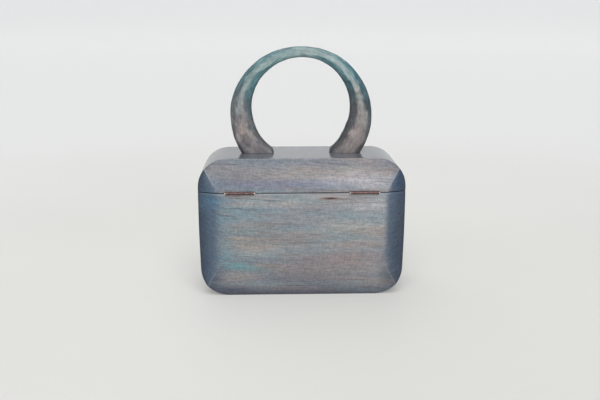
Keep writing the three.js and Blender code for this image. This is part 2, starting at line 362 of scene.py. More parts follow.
def recess_cutter():
    """What both hinges need out of the wood: room for their leaves and a groove for their barrels."""
    groove = KNUCKLE_RADIUS + HINGE_CLEARANCE
    start = math.asin(LEAF_REACH / groove)
    turns = [start + (2 * math.pi - 2 * start) * step / 24 for step in range(25)]
    profile = [(AXIS.y + groove * math.cos(t), AXIS.z + groove * math.sin(t)) for t in turns]
    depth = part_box("hinge_left_lid_leaf")[1].y + HINGE_CLEARANCE
    profile += [(depth, AXIS.z - LEAF_REACH), (depth, AXIS.z + LEAF_REACH)]
    pin_low, pin_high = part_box("hinge_left_pin")
    half = (pin_high.x - pin_low.x) / 2 + HINGE_CLEARANCE
    bm = bmesh.new()
    for side in (-1, 1):
        prism(bm, *([(side * HINGE_CENTRE + past, y, z) for y, z in profile] for past in (-half, half)))
    bmesh.ops.recalc_face_normals(bm, faces=bm.faces)
    return new_object("recess_cutter", mesh_from(bm, "recess_cutter"))


def dowel(side):
    """The dowel that holds one foot of the handle, chamfered where it shows inside the lid."""
    low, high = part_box(f"handle_peg_{side}")
    radius = (high.x - low.x) / 2
    profile = (
        (radius - DOWEL_CHAMFER, low.z - DOWEL_RISE),
        (radius, low.z - DOWEL_RISE + DOWEL_CHAMFER),
        (radius, high.z),
    )
    turns = [2 * math.pi * step / DOWEL_SIDES for step in range(DOWEL_SIDES)]
    x, y = (low.x + high.x) / 2, (low.y + high.y) / 2
    bm = bmesh.new()
    rings = [[bm.verts.new((x + r * math.cos(t), y + r * math.sin(t), z)) for t in turns] for r, z in profile]
    bm.faces.new(rings[0])
    bm.faces.new(rings[-1])
    for lower, upper in zip(rings, rings[1:]):
        for index in range(DOWEL_SIDES):
            after = (index + 1) % DOWEL_SIDES
            bm.faces.new((lower[index], lower[after], upper[after], upper[index]))
    bmesh.ops.recalc_face_normals(bm, faces=bm.faces)
    mesh = mesh_from(bm, f"dowel_{side}")
    mesh.shade_smooth()
    mesh.set_sharp_from_angle(angle=math.radians(30))
    return new_object(f"dowel_{side}", mesh)


def screw_half(bm, middle, turn, heights):
    """Half of a slotted screw head: what is left of a disc on one side of its slot."""
    reach = math.acos(SCREW_SLOT / (2 * SCREW_RADIUS))
    turns = [turn + reach * (step / 8 - 1) for step in range(17)]
    arc = [(middle.x + SCREW_RADIUS * math.cos(t), middle.y + SCREW_RADIUS * math.sin(t)) for t in turns]
    prism(bm, *([(x, y, z) for x, y in arc] for z in heights))


def hinge_screws(side, half):
    """The three screw heads of one leaf, hardly proud of it, with their slots turned at random."""
    low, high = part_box(f"hinge_{side}_{half}_leaf")
    towards = 1 if half == "body" else -1
    skin = AXIS.z - towards * LEAF_GAP / 2
    heights = (skin - towards * SCREW_ROOT, skin + towards * SCREW_RISE)
    draw = random.Random(f"{SCREW_SEED} {side} {half}")
    bm = bmesh.new()
    for offset in SCREW_OFFSETS:
        middle = Vector(((low.x + high.x) / 2 + offset, high.y - SCREW_INSET, 0))
        turn = draw.uniform(0, math.pi)
        screw_half(bm, middle, turn, heights)
        screw_half(bm, middle, turn + math.pi, heights)
    bmesh.ops.recalc_face_normals(bm, faces=bm.faces)
    name = f"hinge_{side}_{half}_screws"
    return new_object(name, mesh_from(bm, name))


# Form of the handle

# Sections by their turn from the crown: how far the carver strayed from the two ellipses and half the depth,
# in mm, then the shares of the width that the two bevels take and the share of the depth that they cut away
HandleSection = namedtuple("HandleSection", "turn inner outer half_depth edge_in edge_out cheek")
HANDLE_SECTIONS = (
    HandleSection(-HANDLE_LAST_TURN, 0.0, 0.0, 7.6, 0.20, 0.14, 0.45),
    HandleSection(-114, 0.5, -0.3, 7.4, 0.20, 0.15, 0.45),
    HandleSection(-98, 0.1, -0.6, 6.8, 0.30, 0.20, 0.50),
    HandleSection(-79, 0.55, 0.2, 6.5, 0.40, 0.30, 0.55),
    HandleSection(-56, 0.1, 0.0, 6.2, 0.42, 0.26, 0.55),
    HandleSection(-32, -0.6, 0.0, 6.0, 0.28, 0.30, 0.55),
    HandleSection(-9, -0.6, -0.4, 5.8, 0.20, 0.20, 0.50),
    HandleSection(6, -0.35, -0.45, 5.8, 0.18, 0.12, 0.50),
    HandleSection(20, 0.1, 0.0, 5.8, 0.36, 0.16, 0.50),
    HandleSection(38, 0.35, 0.45, 6.0, 0.34, 0.26, 0.55),
    HandleSection(58, 0.25, -0.1, 6.2, 0.40, 0.26, 0.55),
    HandleSection(76, 0.25, 0.3, 6.4, 0.38, 0.32, 0.55),
    HandleSection(92, 0.2, 0.1, 6.6, 0.34, 0.22, 0.50),
    HandleSection(106, -0.5, 0.3, 7.0, 0.28, 0.18, 0.50),
    HandleSection(116, -0.3, 0.0, 7.3, 0.22, 0.15, 0.45),
    HandleSection(130, 0.5, -0.4, 7.5, 0.20, 0.14, 0.45),
    HandleSection(HANDLE_LAST_TURN, 0.8, -0.5, 7.6, 0.20, 0.14, 0.45),
)
TOE_ROUND = 3.6 * MM
EDGE_ROUND = 1.1 * MM
ROUND_SHARES = (0, 0.25, 0.5, 0.75, 1)
FLAT_SHARES = (0.2, 0.4, 0.6, 0.8)
GOUGE_COUNT = 800
GOUGE_SEED = 23


def smooth_max(a, b, width):
    overlap = max(width - abs(a - b), 0)
    return max(a, b) + overlap * overlap / (4 * width)


def handle_section(turn):
    for a, b in zip(HANDLE_SECTIONS, HANDLE_SECTIONS[1:]):
        if turn <= b.turn:
            share = soft_step((turn - a.turn) / (b.turn - a.turn))
            return HandleSection(*(mix(p, q, share) for p, q in zip(a, b)))
    return HANDLE_SECTIONS[-1]


def ray_to_ellipse(ellipse, turn):
    """Distance from the handle's centre to an ellipse, along the direction that a turn gives."""
    angle = math.radians(turn)
    across = math.sin(angle) / ellipse.half_width
    up = math.cos(angle) / ellipse.half_height
    start = (HANDLE_CENTRE - ellipse.centre) / ellipse.half_height
    a = across * across + up * up
    b = start * up
    c = start * start - 1
    return (-b + math.sqrt(b * b - a * c)) / a


def inner_reach(turn):
    reach = ray_to_ellipse(GRIP_INNER, turn) + handle_section(turn).inner * MM
    if abs(turn) < 90:
        return reach
    toe = RIGHT_TOE if turn > 0 else LEFT_TOE
    return smooth_max(reach, toe / abs(math.sin(math.radians(turn))), TOE_ROUND)


def outer_reach(turn):
    return ray_to_ellipse(GRIP_OUTER, turn) + handle_section(turn).outer * MM


def rounded(corners):
    """The points of a closed polygon with its corners rounded."""
    points = []
    count = len(corners)
    for index, corner in enumerate(corners):
        before = corners[index - 1]
        after = corners[(index + 1) % count]
        start = corner.lerp(before, min(0.4, EDGE_ROUND / (before - corner).length))
        end = corner.lerp(after, min(0.4, EDGE_ROUND / (after - corner).length))
        for share in ROUND_SHARES:
            points.append(start.lerp(corner, share).lerp(corner.lerp(end, share), share))
        far = after.lerp(corner, min(0.4, EDGE_ROUND / (after - corner).length))
        for share in FLAT_SHARES:
            points.append(end.lerp(far, share))
    return points


def handle_ring(turn):
    """The points round one section of the handle, as (distance from the centre, y)."""
    made = handle_section(turn)
    inner = inner_reach(turn)
    outer = outer_reach(turn)
    sway = math.radians(turn)
    edge_in = made.edge_in * (1 + 0.16 * math.sin(4.1 * sway + 0.8)) * (outer - inner)
    edge_out = made.edge_out * (1 + 0.16 * math.sin(5.3 * sway + 2.1)) * (outer - inner)
    deep = made.half_depth * MM
    narrow = deep * (1 - made.cheek)
    return rounded([
        Vector((inner, -narrow)),
        Vector((inner + edge_in, -deep)),
        Vector((outer - edge_out, -deep)),
        Vector((outer, -narrow)),
        Vector((outer, narrow)),
        Vector((outer - edge_out, deep)),
        Vector((inner + edge_in, deep)),
        Vector((inner, narrow)),
    ])


def gouge(points, normals, ring_size):
    """Shallow overlapping scoops of a gouge: their depth at each point and the tone of the last one."""
    draw = random.Random(GOUGE_SEED)
    depth = np.zeros(len(points))
    tone = np.zeros(len(points))
    for _ in range(GOUGE_COUNT):
        station = draw.randrange(2, HANDLE_STATIONS - 2)
        index = station * ring_size + draw.randrange(ring_size)
        half_length = draw.uniform(3, 9) * MM
        half_width = draw.uniform(1.8, 3.8) * MM
        deepest = draw.uniform(0.12, 0.34) * MM
        normal = normals[index]
        along = points[index + ring_size] - points[index - ring_size]
        along -= normal * along.dot(normal)
        along /= np.linalg.norm(along)
        across = np.cross(normal, along)
        offset = points - points[index]
        spread = (offset @ along / half_length) ** 2 + (offset @ across / half_width) ** 2
        facing = np.clip(normals @ normal, 0, 1) ** 3
        near = np.abs(offset @ normal) < half_width
        scoop = np.where(near, deepest * (1 - spread) * facing, 0)
        tone = np.where(scoop > depth, draw.uniform(-1, 1), tone)
        depth = np.maximum(depth, scoop)
    return depth, tone


def carved_handle():
    """The handle as a loft of rounded octagons, gouged all over and trimmed flat where it meets the lid."""
    bm = bmesh.new()
    rings = []
    for station in range(HANDLE_STATIONS + 1):
        turn = HANDLE_LAST_TURN * (2 * station / HANDLE_STATIONS - 1)
        angle = math.radians(turn)
        base = HEIGHT + HANDLE_CENTRE
        ring = handle_ring(turn)
        rings.append([bm.verts.new((r * math.sin(angle), y, base + r * math.cos(angle))) for r, y in ring])
    size = len(rings[0])
    for near, far in zip(rings, rings[1:]):
        for index in range(size):
            after = (index + 1) % size
            bm.faces.new((near[index], far[index], far[after], near[after]))
    bm.faces.new(rings[0])
    bm.faces.new(rings[-1][::-1])
    bmesh.ops.recalc_face_normals(bm, faces=bm.faces)
    bm.normal_update()
    points = np.array([vert.co for vert in bm.verts])
    normals = np.array([vert.normal for vert in bm.verts])
    depth, tone = gouge(points, normals, size)
    layer = bm.verts.layers.float.new("scoop")
    for vert, scoop_tone, place in zip(bm.verts, tone, points - normals * depth[:, None]):
        vert[layer] = scoop_tone
        vert.co = place
    foot = (0, 0, HEIGHT + FOOT_GAP)
    whole = bm.verts[:] + bm.edges[:] + bm.faces[:]
    trimmed = bmesh.ops.bisect_plane(bm, geom=whole, plane_co=foot, plane_no=(0, 0, -1), clear_outer=True)
    edges = [item for item in trimmed["geom_cut"] if isinstance(item, bmesh.types.BMEdge)]
    bmesh.ops.holes_fill(bm, edges=edges, sides=0)
    bmesh.ops.recalc_face_normals(bm, faces=bm.faces)
    mesh = mesh_from(bm, "carved_handle")
    mesh.shade_smooth()
    mesh.set_sharp_from_angle(angle=math.radians(50))
    return new_object("carved_handle", mesh)


def mark_handle(mesh):
    """Notes where each point lies: on a flat cheek, towards the inside, and its turn from the crown."""
    cheek = []
    inside = []
    turns = []
    for vert in mesh.vertices:
        x, y, z = vert.co
        up = z - HEIGHT - HANDLE_CENTRE
        turn = math.degrees(math.atan2(x, up))
        made = handle_section(turn)
        inner = inner_reach(turn)
        outer = outer_reach(turn)
        share = (math.hypot(x, up) - inner) / (outer - inner)
        from_edge = min(share - made.edge_in, 1 - made.edge_out - share) * (outer - inner) / MM
        cheek.append(1 / (1 + math.exp(-1.1 * from_edge)))
        inside.append(1 - share)
        turns.append(turn)
    set_attribute(mesh, "cheek", cheek)
    set_attribute(mesh, "inside", inside)
    set_attribute(mesh, "turn", turns)


def slope_of(loss, at):
    step = 0.25 * MM
    return (loss(at + step, 0) - loss(at - step, 0)) / (2 * step)


def past_hip(x, z):
    """How far a point of a face lies past the hip, towards the side, and how crisp the hip is there."""
    above = side_loss(z, 0)
    steep = math.hypot(slope_of(plan_loss, abs(x)), slope_of(side_loss, z))
    past = (plan_loss(x, 0) - above) / steep if steep > 1e-6 else -HALF_WIDTH
    return past, soft_step(above / HIP_LOSS)


def mark_box(mesh):
    """Notes where each point lies: on a face, on its side bevel, at a hip or by an edge of the outline."""
    marks = {name: [] for name in ("face", "rim", "side", "sunk", "hip", "edge")}
    for vert in mesh.vertices:
        x, y, z = vert.co
        wide = half_width_at(min(max(z, 0), HEIGHT), 0)
        inward = half_depth_at(x, z, 0) - abs(y)
        on_face = 1 if inward < FACE_REACH else 0
        past, crisp = past_hip(x, z)
        softness = mix(SIDE_SOFTNESS[-1 if x * y > 0 else 1], HIP_SOFTNESS, crisp)
        from_rim = min(wide - abs(x), z, HEIGHT - z + TOP_EDGE) if on_face else inward
        marks["face"].append(on_face)
        marks["rim"].append(1 - on_face)
        marks["side"].append(on_face * soft_step((past - SIDE_START * (1 - crisp)) / softness + 0.5))
        past_in = max(0, past)
        marks["sunk"].append(past_in / (past_in + max(0.1 * MM, wide - abs(x))))
        marks["hip"].append(on_face * crisp * math.exp(-abs(past) / HIP_REACH))
        marks["edge"].append(math.exp(-max(0, from_rim) / EDGE_REACH))
    for name, values in marks.items():
        set_attribute(mesh, name, values)


def paint_inside(mesh):
    """Gives the faces of the cavity the second material."""
    for face in mesh.polygons:
        x, y, z = face.center
        inset = WALL - CAVITY_SLACK
        level = inset < z < HEIGHT - inset
        if level and abs(x) < half_width_at(z, inset) and abs(y) < half_depth_at(x, z, inset):
            face.material_index = 1


# Materials

def linear(colour):
    """A colour from 0 to 255 as the shader wants it."""
    shares = [part / 255 for part in colour]
    return tuple(s / 12.92 if s <= 0.04045 else ((s + 0.055) / 1.055) ** 2.4 for s in shares) + (1,)


class Graph:
    """A material's nodes, with short ways to make the common ones."""

    def __init__(self, name):
        self.material = bpy.data.materials.new(name)
        self.material.use_nodes = True
        self.tree = self.material.node_tree
        self.shader = self.tree.nodes["Principled BSDF"]

    def node(self, kind, **settings):
        made = self.tree.nodes.new(kind)
        for key, value in settings.items():
            setattr(made, key, value)
        return made

    def feed(self, socket, value):
        if isinstance(value, bpy.types.NodeSocket):
            self.tree.links.new(value, socket)
        else:
            socket.default_value = value

    def math(self, operation, *values):
        made = self.node("ShaderNodeMath", operation=operation)
        for socket, value in zip(made.inputs, values):
            self.feed(socket, value)
        return made.outputs[0]

    def spread(self, value, low, high, to_low=0.0, to_high=1.0):
        """A soft step of a value between two limits."""
        made = self.node("ShaderNodeMapRange", interpolation_type="SMOOTHSTEP")
        for socket, given in zip(made.inputs, (value, low, high, to_low, to_high)):
            self.feed(socket, given)
        return made.outputs[0]

    def mix(self, factor, a, b, blend="MIX"):
        made = self.node("ShaderNodeMix", data_type="RGBA", blend_type=blend)
        self.feed(made.inputs[0], factor)
        self.feed(made.inputs[6], a)
        self.feed(made.inputs[7], b)
        return made.outputs[2]

    def attribute(self, name):
        return self.node("ShaderNodeAttribute", attribute_name=name).outputs["Fac"]

    def place(self):
        """The point in the bag's own frame, in millimetres."""
        split = self.node("ShaderNodeSeparateXYZ")
        coordinates = self.node("ShaderNodeTexCoord").outputs["Object"]
        scale = self.node("ShaderNodeVectorMath", operation="SCALE")
        self.feed(scale.inputs[0], coordinates)
        self.feed(scale.inputs["Scale"], 1 / MM)
        self.feed(split.inputs[0], scale.outputs[0])
        return split.outputs[0], split.outputs[1], split.outputs[2]

    def noise(self, place, lengths, detail=2.0, roughness=0.5, seed=0.0):
        """Noise whose features are about as long along each axis as lengths says, in millimetres."""
        combine = self.node("ShaderNodeCombineXYZ")
        for socket, along, length in zip(combine.inputs, place, lengths):
            self.feed(socket, self.math("DIVIDE", along, length))
        made = self.node("ShaderNodeTexNoise", noise_dimensions="4D")
        self.feed(made.inputs["Vector"], combine.outputs[0])
        self.feed(made.inputs["W"], seed)
        self.feed(made.inputs["Scale"], 1.0)
        self.feed(made.inputs["Detail"], detail)
        self.feed(made.inputs["Roughness"], roughness)
        return made.outputs[0]

    def ramp(self, value, stops):
        made = self.node("ShaderNodeValToRGB")
        elements = made.color_ramp.elements
        while len(elements) < len(stops):
            elements.new(0.5)
        for element, (position, colour) in zip(elements, stops):
            element.position = position
            element.color = linear(colour)
        self.feed(made.inputs[0], value)
        return made.outputs[0]

    def bump(self, height, distance, strength):
        made = self.node("ShaderNodeBump")
        self.feed(made.inputs["Strength"], strength)
        self.feed(made.inputs["Distance"], distance)
        self.feed(made.inputs["Height"], height)
        self.feed(self.shader.inputs["Normal"], made.outputs[0])

    def set(self, **inputs):
        for name, value in inputs.items():
            self.feed(self.shader.inputs[name.replace("_", " ").title().replace("Ior", "IOR")], value)


# Growth layers of the wood: how steeply they lie, climb along the grain and wander, in mm
LAYER_UP = 0.61
LAYER_BACK = 0.79
LAYER_CLIMB = 0.025
LAYER_WANDER = 7.0


def grain_space(graph):
    """Coordinates along the grain, across the growth layers and within them."""
    x, y, z = graph.place()
    drift = graph.noise((x, y, z), (170, 80, 80), detail=1.0, seed=3.0)
    wander = graph.math("MULTIPLY", graph.math("SUBTRACT", drift, 0.5), LAYER_WANDER)
    back = graph.math("MULTIPLY", y, LAYER_BACK)
    across = graph.math("SUBTRACT", graph.math("MULTIPLY", z, LAYER_UP), back)
    across = graph.math("ADD", across, graph.math("MULTIPLY", x, LAYER_CLIMB))
    across = graph.math("ADD", across, wander)
    up = graph.math("MULTIPLY", z, LAYER_BACK)
    within = graph.math("ADD", graph.math("MULTIPLY", y, LAYER_UP), up)
    return x, across, within


# Spots of dye, and on the box's side bevels partly painted shade: the side that they are on (-1 hinge side,
# 1 clasp side), their middle and half sizes. On the box, along and up are x and z in mm. On the handle they
# are degrees from the crown and percent of the way in from the outside.
Spot = namedtuple("Spot", "face along up half_along half_up dye strength")
WASHES = (
    Spot(-1, -92, 66, 17, 60, (88, 108, 126), 0.9),
    Spot(-1, -68, 88, 26, 7, (98, 134, 148), 0.65),
    Spot(-1, -84, 103, 16, 4, (96, 134, 156), 0.5),
    Spot(-1, -12, 75, 24, 2, (98, 120, 138), 0.6),
    Spot(-1, 8, 91, 46, 9, (122, 137, 150), 0.5),
    Spot(-1, 44, 87, 18, 4, (110, 140, 152), 0.55),
    Spot(-1, 45, 72, 36, 11, (150, 154, 153), 0.45),
    Spot(-1, 74, 96, 28, 11, (170, 174, 180), 0.65),
    Spot(-1, -60, 71, 30, 6, (130, 143, 142), 0.5),
    Spot(-1, -38, 64, 28, 2.6, (97, 116, 131), 0.55),
    Spot(-1, -28, 83, 50, 5, (106, 126, 142), 0.45),
    Spot(-1, -58, 55, 32, 6, (152, 148, 141), 0.6),
    Spot(-1, -66, 61, 16, 1.2, (174, 162, 144), 0.5),
    Spot(-1, -79, 48, 9, 11, (100, 138, 152), 0.5),
    Spot(-1, 58, 40, 32, 14, (153, 137, 136), 0.7),
    Spot(-1, 2, 33, 28, 11, (131, 120, 124), 0.65),
    Spot(-1, -66, 32.5, 13, 3.4, (90, 156, 164), 0.7),
    Spot(-1, -50, 28.5, 14, 2.4, (98, 156, 160), 0.55),
    Spot(-1, -18, 18, 22, 4, (118, 122, 140), 0.5),
    Spot(-1, 20, 24, 60, 16, (118, 116, 121), 0.5),
    Spot(-1, -66, 19, 18, 5, (158, 152, 149), 0.55),
    Spot(-1, -93, 18, 9, 17, (70, 84, 102), 0.8),
    Spot(-1, -78, 4, 24, 9, (64, 75, 97), 0.7),
    Spot(-1, 88, 27, 8, 17, (86, 89, 102), 0.7),
    Spot(-1, 30, 41, 15, 5, (126, 119, 124), 0.5),
    Spot(-1, 14, 13, 26, 5, (100, 101, 113), 0.5),
    Spot(-1, -20, 118, 62, 4, (107, 107, 138), 0.75),
    Spot(-1, -10, 129, 60, 6.5, (152, 142, 138), 0.72),
    Spot(-1, 60, 122, 32, 6, (186, 182, 189), 0.7),
    Spot(-1, 56, 131, 16, 3.5, (168, 163, 154), 0.5),
    Spot(-1, 18, 137, 16, 4, (116, 121, 141), 0.45),
    Spot(-1, -30, 140, 60, 3.5, (110, 114, 129), 0.65),
    Spot(-1, -66, 126, 30, 13, (108, 114, 126), 0.6),
    Spot(-1, 86, 139, 20, 5, (110, 116, 131), 0.7),
    Spot(1, 55, 84, 40, 9, (100, 142, 152), 0.7),
    Spot(1, -30, 60, 46, 8, (150, 138, 146), 0.6),
    Spot(1, 20, 34, 50, 7, (94, 146, 154), 0.6),
    Spot(1, -60, 96, 34, 6, (128, 132, 156), 0.6),
    Spot(1, 10, 124, 70, 6, (150, 146, 156), 0.6),
)
# Spots on the side bevels: partly dye, partly painted shade that deepens the bevels where they turn away from
# the light
BEVEL_DYE_AND_SHADE = (
    Spot(-1, -94, 101, 9, 8, (70, 112, 140), 0.6),
    Spot(-1, 99, 121, 6, 12, (24, 58, 92), 0.85),
    Spot(-1, 98, 50, 8, 42, (42, 54, 76), 0.65),
    Spot(-1, -97, 13, 8, 10, (56, 68, 86), 0.6),
    Spot(-1, 95, 18, 7, 10, (60, 64, 80), 0.5),
    Spot(1, 95, 60, 9, 20, (64, 104, 128), 0.5),
)
KNOT = (
    Spot(-1, 26, 105.5, 24, 2.6, (180, 174, 172), 0.6),
    Spot(-1, 43, 103.2, 11, 0.7, (92, 86, 88), 0.7),
    Spot(-1, 27, 104, 8.5, 1.2, (112, 74, 50), 0.9),
    Spot(-1, 29, 103.9, 5, 0.8, (40, 26, 20), 0.95),
)


def spotted(graph, colour, spots, along, up, sides):
    """Lays soft spots of dye over a colour; the spots on the box's side bevels are partly painted shade."""
    for spot in spots:
        across = graph.math("DIVIDE", graph.math("SUBTRACT", along, spot.along), spot.half_along)
        rise = graph.math("DIVIDE", graph.math("SUBTRACT", up, spot.up), spot.half_up)
        far = graph.math("ADD", graph.math("MULTIPLY", across, across), graph.math("MULTIPLY", rise, rise))
        faded = graph.math("EXPONENT", graph.math("MULTIPLY", far, -0.8))
        amount = graph.math("MULTIPLY", graph.math("MULTIPLY", faded, sides[spot.face]), spot.strength)
        colour = graph.mix(amount, colour, linear(spot.dye))
    return colour


def shaded(graph, colour, shade):
    """A colour made lighter or darker by a factor."""
    tint = graph.node("ShaderNodeCombineColor")
    for socket in tint.inputs[:3]:
        graph.feed(socket, shade)
    return graph.mix(1.0, colour, tint.outputs[0], "MULTIPLY")


def stain_and_painted_light(graph, colour, mark, strength, dye):
    """A colour with a dye laid over it as strongly as a mark says; in some places what is laid over is
    painted shade or a painted highlight.
    """
    return graph.mix(graph.math("MULTIPLY", mark, strength), colour, linear(dye))


# What the dyed pores and the paler fibres between them make of a colour
PORE_TINT = (0.77, 0.79, 0.80, 1)
FIBRE_TINT = (1.19, 1.17, 1.16, 1)


# Dyed wood with painted light: painted shade on the side bevels, at the seam and by the edges, a painted
# highlight below the seam and partly on the hips
def dyed_wood():
    graph = Graph("dyed_wood")
    x, y, z = graph.place()
    grain = grain_space(graph)
    broad = graph.noise(grain, (170, 9, 45), detail=2.0, seed=1.0)
    middle = graph.noise(grain, (36, 1.6, 14), detail=3.0, roughness=0.6, seed=5.0)
    fine = graph.noise(grain, (10, 0.65, 5), detail=3.0, roughness=0.65, seed=9.0)
    hue = graph.noise(grain, (60, 6, 20), detail=2.0, seed=17.0)
    fleck = graph.noise((x, y, z), (1.8, 6, 2.8), detail=2.0, seed=13.0)
    vein = graph.noise(grain, (80, 1.2, 30), detail=1.0, seed=25.0)

    tone = graph.math("ADD", graph.math("MULTIPLY", broad, 0.6), graph.math("MULTIPLY", middle, 0.4))
    cool = graph.ramp(tone, ((0.3, (98, 111, 126)), (0.5, (128, 140, 147)), (0.7, (154, 163, 165))))
    warm = graph.ramp(tone, ((0.3, (112, 107, 113)), (0.5, (144, 138, 138)), (0.7, (167, 160, 157))))
    colour = graph.mix(graph.spread(hue, 0.36, 0.64), cool, warm)

    sides = {face: graph.spread(graph.math("MULTIPLY", y, float(face)), 8.0, 30.0) for face in (-1, 1)}
    streak = graph.spread(middle, 0.3, 0.7, 0.5, 1.3)
    streaked = {face: graph.math("MULTIPLY", amount, streak) for face, amount in sides.items()}
    drawn = graph.math("ADD", z, graph.math("MULTIPLY", graph.math("SUBTRACT", broad, 0.5), 14.0))
    colour = spotted(graph, colour, WASHES, x, drawn, streaked)

    # The side bevels are deeper blue, darkest towards the outline: partly dye, partly painted shade where the
    # bevels turn away from the light
    side = graph.math("MULTIPLY_ADD", middle, 0.3, -0.15)
    side = graph.spread(graph.math("ADD", graph.attribute("side"), side), 0.15, 0.85)
    deep = graph.ramp(graph.attribute("sunk"), (
        (0.0, (88, 104, 122)),
        (0.3, (73, 91, 111)),
        (0.65, (52, 70, 90)),
        (1.0, (38, 54, 72)),
    ))
    colour = graph.mix(graph.math("MULTIPLY", side, 0.94), colour, deep)
    colour = spotted(graph, colour, BEVEL_DYE_AND_SHADE, x, z, streaked)
    from_middle = graph.math("ABSOLUTE", x)
    ends = graph.ramp(graph.spread(from_middle, 58.0, 94.0), ((0.0, (92, 96, 107)), (1.0, (36, 46, 62))))
    colour = graph.mix(graph.math("MULTIPLY", graph.attribute("rim"), 0.78), colour, ends)
    low = graph.math("MULTIPLY", graph.spread(z, 15.0, 0.5), graph.spread(x, 30.0, 80.0, 1.0, 0.7))
    colour = stain_and_painted_light(graph, colour, low, 0.82, (68, 71, 88))
    colour = stain_and_painted_light(graph, colour, graph.spread(vein, 0.36, 0.26), 0.5, (70, 69, 76))
    colour = shaded(graph, colour, graph.spread(fleck, 0.3, 0.7, 0.86, 1.12))
    lines = graph.mix(graph.spread(fine, 0.3, 0.7), PORE_TINT, FIBRE_TINT)
    colour = graph.mix(1.0, colour, lines, "MULTIPLY")
    colour = spotted(graph, colour, KNOT, x, z, sides)

    face = graph.attribute("face")
    below = graph.math("SUBTRACT", AXIS.z / MM, z)
    # Painted highlight: a pale band just below the seam, where the body's top edge catches the light
    lip_highlight = graph.math("MULTIPLY", graph.spread(below, 3.2, 1.4), graph.spread(below, 0.5, 0.9))
    # Painted shade of the seam's gap: a dark line on the faces beside it
    seam_shade = graph.spread(graph.math("ABSOLUTE", below), 0.75, 0.3)
    flat = graph.math("SUBTRACT", face, graph.math("MULTIPLY", graph.attribute("side"), 0.75))
    colour = stain_and_painted_light(graph, colour, graph.math("MULTIPLY", lip_highlight, flat), 0.22, (190, 192, 198))
    colour = stain_and_painted_light(graph, colour, graph.math("MULTIPLY", seam_shade, face), 0.6, (40, 44, 50))
    # Darker by the edges of the outline: partly dye, partly painted shade where the surface turns away
    colour = stain_and_painted_light(graph, colour, graph.attribute("edge"), 0.65, (34, 44, 60))
    # A pale line along the hips, stronger higher up: partly wear, partly painted highlight
    hip = graph.math("MULTIPLY", graph.attribute("hip"), graph.spread(z, 60.0, 110.0, 0.2, 0.58))
    colour = stain_and_painted_light(graph, colour, hip, 1.0, (172, 178, 186))
    graph.feed(graph.shader.inputs["Base Color"], colour)
    graph.feed(graph.shader.inputs["Roughness"], graph.spread(fine, 0.2, 0.8, 0.2, 0.14))
    graph.set(specular_ior_level=0.5)
    graph.bump(graph.math("ADD", fine, middle), 0.00012, 0.3)
    return graph.material


def bare_wood(name, dark, middling, light):
    graph = Graph(name)
    grain = grain_space(graph)
    middle = graph.noise(grain, (70, 2.2, 16), detail=3.0, roughness=0.6, seed=21.0)
    fine = graph.noise(grain, (20, 0.5, 5), detail=2.0, seed=27.0)
    tone = graph.math("ADD", graph.math("MULTIPLY", middle, 0.65), graph.math("MULTIPLY", fine, 0.35))
    colour = graph.ramp(tone, ((0.3, dark), (0.5, middling), (0.7, light)))
    graph.feed(graph.shader.inputs["Base Color"], colour)
    graph.feed(graph.shader.inputs["Roughness"], graph.spread(fine, 0.2, 0.8, 0.7, 0.52))
    graph.bump(fine, 0.00012, 0.3)
    return graph.material


# Dyes of the handle by their turn from the crown: on its cheeks and on its outer and inner bevels
Dye = namedtuple("Dye", "turn cheek outer inner")
HANDLE_DYES = (
    Dye(-135, (123, 121, 124), (82, 82, 86), (124, 122, 125)),
    Dye(-110, (148, 142, 141), (86, 87, 90), (98, 99, 102)),
    Dye(-76, (132, 142, 143), (80, 96, 101), (70, 95, 103)),
    Dye(-48, (134, 154, 152), (84, 116, 121), (92, 132, 138)),
    Dye(-24, (142, 161, 161), (88, 122, 129), (98, 136, 142)),
    Dye(0, (149, 166, 166), (126, 150, 155), (126, 149, 153)),
    Dye(24, (151, 167, 167), (92, 126, 134), (92, 126, 134)),
    Dye(48, (152, 169, 169), (78, 118, 128), (60, 102, 112)),
    Dye(78, (146, 147, 145), (60, 76, 86), (76, 80, 84)),
    Dye(110, (145, 135, 134), (84, 88, 93), (78, 79, 83)),
    Dye(135, (132, 126, 126), (84, 84, 88), (86, 85, 89)),
)
HANDLE_SPOTS = (
    Spot(-1, -97, 36, 6, 22, (98, 96, 104), 0.75),
    Spot(-1, -108, 38, 8, 22, (154, 138, 132), 0.6),
    Spot(-1, -118, 30, 6, 26, (90, 89, 96), 0.75),
    Spot(-1, 93, 66, 8, 22, (100, 98, 104), 0.25),
    Spot(-1, -118, 14, 8, 14, (96, 95, 100), 0.5),
    Spot(-1, 106, 16, 12, 13, (98, 100, 105), 0.5),
    Spot(-1, -36, 18, 17, 16, (98, 131, 138), 0.6),
    Spot(-1, 58, 22, 8, 20, (48, 112, 127), 0.55),
    Spot(-1, -19, 62, 9, 20, (104, 143, 150), 0.4),
    Spot(-1, -86, 54, 8, 16, (136, 132, 131), 0.5),
    Spot(-1, -84, 14, 9, 13, (88, 95, 101), 0.5),
    Spot(-1, 30, 14, 12, 13, (104, 136, 144), 0.45),
    Spot(-1, 20, 74, 12, 16, (92, 136, 146), 0.6),
    Spot(-1, -58, 84, 14, 14, (66, 124, 134), 0.35),
    Spot(1, 96, 50, 8, 26, (108, 106, 114), 0.75),
    Spot(1, -90, 60, 8, 22, (96, 94, 101), 0.6),
)


# The handle's mean breadth and the length of one degree of it, in mm, for its grain
HANDLE_BREADTH = 21.0
HANDLE_ARC = 1.08
